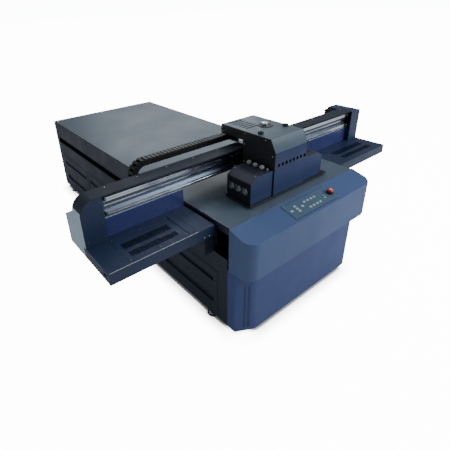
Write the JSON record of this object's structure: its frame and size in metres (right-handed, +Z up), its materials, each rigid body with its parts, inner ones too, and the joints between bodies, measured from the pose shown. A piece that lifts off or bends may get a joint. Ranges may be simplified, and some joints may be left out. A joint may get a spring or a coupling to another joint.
{
  "type": "flatbed uv printer",
  "caption": "Flatbed UV printer: long vacuum bed on a closed cabinet, gantry with two side trays, and a print carriage with lamps on the beam.",
  "frame": {"origin": "on the floor, under the middle of the machine's length and width", "axes": "+Z up, +Y along the bed from the console to the rear, +X to the operator's right"},
  "size_m": [2.778, 3.226, 1.284],
  "materials": {
    "frame_steel": "satin powder coat",
    "navy_paint": "fine-textured navy powder coat",
    "gloss_navy": "semi-gloss navy powder coat",
    "black_paint": "satin black powder coat",
    "black_plastic": "matte moulded",
    "fan_plastic": "matte moulded",
    "panel_film": "printed membrane",
    "red_plastic": "glossy moulded",
    "green_plastic": "glossy moulded",
    "stem_plastic": "matte moulded",
    "bed_aluminium": "grey anodised",
    "bare_aluminium": "satin",
    "rail_chrome": "polished",
    "steel": "ground",
    "belt_rubber": "matte",
    "foot_metal": "blackened",
    "collar_plastic": "matte moulded"
  },
  "bodies": {
    "cabinet": {"base_frame": "frame_steel", "left_side_panel": "navy_paint", "right_side_panel": "navy_paint", "side_covers": "navy_paint", "rear_panel": "navy_paint", "power_inlet": "black_plastic", "front_cladding": "navy_paint", "console_housing": "navy_paint", "control_panel": "panel_film", "estop_collar": "collar_plastic", "bed_table": "bed_aluminium", "vacuum_blower": "black_paint", "electronics_cabinet": "black_paint", "y_guide_rails": "steel", "y_motors": "black_paint", "levelling_feet": "foot_metal"},
    "estop_stem": {"estop_plunger": "stem_plastic"},
    "estop_cap": {"estop_button": "red_plastic"},
    "start_key": {"start_button": "green_plastic"},
    "left_screw": {"y_screw_left": "steel"},
    "right_screw": {"y_screw_right": "steel"},
    "gantry": {"gantry_beam": "bare_aluminium", "x_rail_upper": "rail_chrome", "x_rail_lower": "rail_chrome", "beam_cover": "navy_paint", "left_end_cover": "navy_paint", "right_end_cover": "navy_paint", "pedestals": "gloss_navy", "left_tray": "navy_paint", "right_tray": "navy_paint", "left_grille": "navy_paint", "right_grille": "navy_paint", "bridge_plates": "navy_paint", "gantry_legs": "navy_paint", "y_bearing_blocks": "steel", "x_belt": "belt_rubber", "x_motor": "black_paint", "chain_trough": "black_paint", "chain_lower_run": "black_plastic"},
    "idler_pulley": {"x_idler_pulley": "steel"},
    "drive_pulley": {"x_drive_pulley": "steel"},
    "slider": {"slider_plate": "bare_aluminium", "x_bearing_blocks": "steel"},
    "chain_loop": {"chain_bend": "black_plastic", "chain_upper_run": "black_plastic"},
    "head": {"carriage_hood": "gloss_navy", "hood_side_plates": "black_paint", "base_plate": "bare_aluminium", "print_heads": "bare_aluminium", "ink_tanks": "black_plastic", "left_lamp": "gloss_navy", "right_lamp": "gloss_navy", "lift_motor": "black_paint"},
    "lift_spindle": {"lift_screw": "steel"},
    "left_fan_front": {"left_lamp_fan_front": "fan_plastic"},
    "left_fan_middle": {"left_lamp_fan_middle": "fan_plastic"},
    "left_fan_rear": {"left_lamp_fan_rear": "fan_plastic"},
    "right_fan_front": {"right_lamp_fan_front": "fan_plastic"},
    "right_fan_middle": {"right_lamp_fan_middle": "fan_plastic"},
    "right_fan_rear": {"right_lamp_fan_rear": "fan_plastic"}
  },
  "joints": [
    {"name": "gantry_travel", "type": "slide", "parent": "cabinet", "child": "gantry", "axis": [0, 1, 0], "range_m": [0, 2.28]},
    {"name": "carriage_travel", "type": "slide", "parent": "gantry", "child": "slider", "axis": [1, 0, 0], "range_m": [-0.8, 0.8], "deforming": ["chain_lower_run"]},
    {"name": "chain_follow", "type": "slide", "parent": "slider", "child": "chain_loop", "axis": [1, 0, 0], "range_m": [-0.4, 0.4], "deforming": ["chain_upper_run"]},
    {"name": "head_lift", "type": "slide", "parent": "slider", "child": "head", "axis": [0, 0, 1], "range_m": [0, 0.09]},
    {"name": "left_screw_spin", "type": "hinge", "parent": "cabinet", "child": "left_screw", "pos_m": [-0.53, 0.029, 0.604], "axis": [0, 1, 0], "continuous": true},
    {"name": "right_screw_spin", "type": "hinge", "parent": "cabinet", "child": "right_screw", "pos_m": [0.53, 0.029, 0.604], "axis": [0, 1, 0], "continuous": true},
    {"name": "idler_spin", "type": "hinge", "parent": "gantry", "child": "idler_pulley", "pos_m": [-1.275, -0.981, 1.112], "axis": [0, 0, 1], "continuous": true},
    {"name": "drive_spin", "type": "hinge", "parent": "gantry", "child": "drive_pulley", "pos_m": [1.275, -0.981, 1.112], "axis": [0, 0, 1], "continuous": true},
    {"name": "lift_screw_spin", "type": "hinge", "parent": "head", "child": "lift_spindle", "pos_m": [0.015, -1.079, 1.15], "axis": [0, 0, 1], "continuous": true},
    {"name": "estop_press", "type": "slide", "parent": "cabinet", "child": "estop_stem", "axis": [0, 0.245, -0.9695], "range_m": [0, 0.004], "stiffness_N_per_m": 1500},
    {"name": "estop_twist", "type": "hinge", "parent": "estop_stem", "child": "estop_cap", "pos_m": [0.217, -1.53576, 0.84415], "axis": [0, -0.245, 0.9695], "range_deg": [0, 45], "stiffness_Nm_per_rad": 0.05},
    {"name": "start_press", "type": "slide", "parent": "cabinet", "child": "start_key", "axis": [0, 0.245, -0.9695], "range_m": [0, 0.003], "stiffness_N_per_m": 600},
    {"name": "left_fan_front_spin", "type": "hinge", "parent": "head", "child": "left_fan_front", "pos_m": [-0.3805, -1.289, 0.956], "axis": [1, 0, 0], "continuous": true},
    {"name": "left_fan_middle_spin", "type": "hinge", "parent": "head", "child": "left_fan_middle", "pos_m": [-0.3805, -1.227, 0.956], "axis": [1, 0, 0], "continuous": true},
    {"name": "left_fan_rear_spin", "type": "hinge", "parent": "head", "child": "left_fan_rear", "pos_m": [-0.3805, -1.165, 0.956], "axis": [1, 0, 0], "continuous": true},
    {"name": "right_fan_front_spin", "type": "hinge", "parent": "head", "child": "right_fan_front", "pos_m": [0.3475, -1.289, 0.956], "axis": [1, 0, 0], "continuous": true},
    {"name": "right_fan_middle_spin", "type": "hinge", "parent": "head", "child": "right_fan_middle", "pos_m": [0.3475, -1.227, 0.956], "axis": [1, 0, 0], "continuous": true},
    {"name": "right_fan_rear_spin", "type": "hinge", "parent": "head", "child": "right_fan_rear", "pos_m": [0.3475, -1.165, 0.956], "axis": [1, 0, 0], "continuous": true}
  ],
  "couplings": [
    {"joint": "chain_follow", "follows": "carriage_travel", "ratio": -0.5},
    {"joint": "left_screw_spin", "follows": "gantry_travel", "rad_per_m": 157.08},
    {"joint": "right_screw_spin", "follows": "gantry_travel", "rad_per_m": 157.08},
    {"joint": "idler_spin", "follows": "carriage_travel", "rad_per_m": 69.9},
    {"joint": "drive_spin", "follows": "carriage_travel", "rad_per_m": 69.9},
    {"joint": "lift_screw_spin", "follows": "head_lift", "rad_per_m": 628.3}
  ]
}
